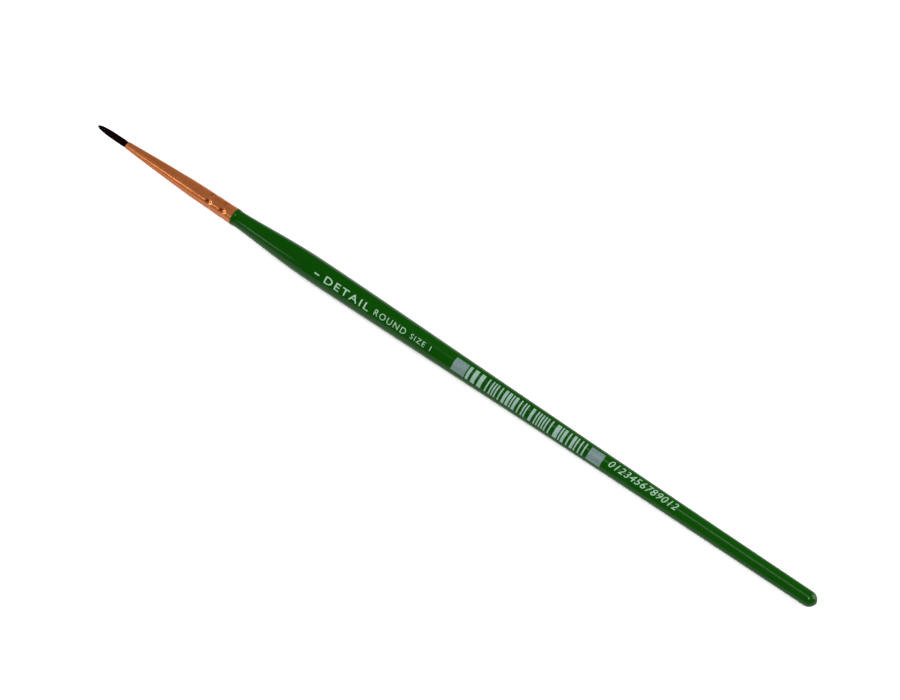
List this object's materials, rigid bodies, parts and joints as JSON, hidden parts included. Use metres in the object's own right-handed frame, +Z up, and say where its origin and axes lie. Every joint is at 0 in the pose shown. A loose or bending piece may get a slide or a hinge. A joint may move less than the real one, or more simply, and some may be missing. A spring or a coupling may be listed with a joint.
{
  "type": "fine detail brush",
  "caption": "Fine detail paint brush: slim tapered lacquered handle, crimped copper-coloured ferrule and a short pointed tuft of dark hair that flexes.",
  "frame": {"origin": "centre of the brush's box at the height of the surface that the widest ring of the handle lies on", "axes": "+X from the hair's point to the butt end of the handle, along the brush's axis; +Z up as the brush lies; the printed side faces -Y and up"},
  "size_m": [0.19, 0.0056, 0.0056],
  "materials": {
    "wood": "matte",
    "undercoat": "matte",
    "green_lacquer": "gloss",
    "copper_plate": "polished",
    "clear_glue": "gloss",
    "dark_hair": "satin",
    "binding_thread": "matte",
    "amber_cement": "gloss",
    "print_ink": "satin"
  },
  "bodies": {
    "handle": {"handle_core": "wood", "handle_undercoat": "undercoat", "handle_lacquer": "green_lacquer", "ferrule": "copper_plate", "handle_glue": "clear_glue", "hair_root": "dark_hair", "root_binding": "binding_thread", "root_cement": "amber_cement"},
    "tuft_base": {"hair_base": "dark_hair"},
    "tuft_point": {"hair_point": "dark_hair"}
  },
  "joints": [
    {"name": "tuft_bend_sideways", "type": "hinge", "parent": "handle", "child": "tuft_base", "pos_m": [-0.0871, 0, 0.00281], "axis": [0, 0, 1], "range_deg": [-35, 35], "stiffness_Nm_per_rad": 0.0006},
    {"name": "point_bend_up", "type": "hinge", "parent": "tuft_base", "child": "tuft_point", "pos_m": [-0.0898, 0, 0.00281], "axis": [0, 1, 0], "range_deg": [-30, 30], "stiffness_Nm_per_rad": 0.0003}
  ]
}
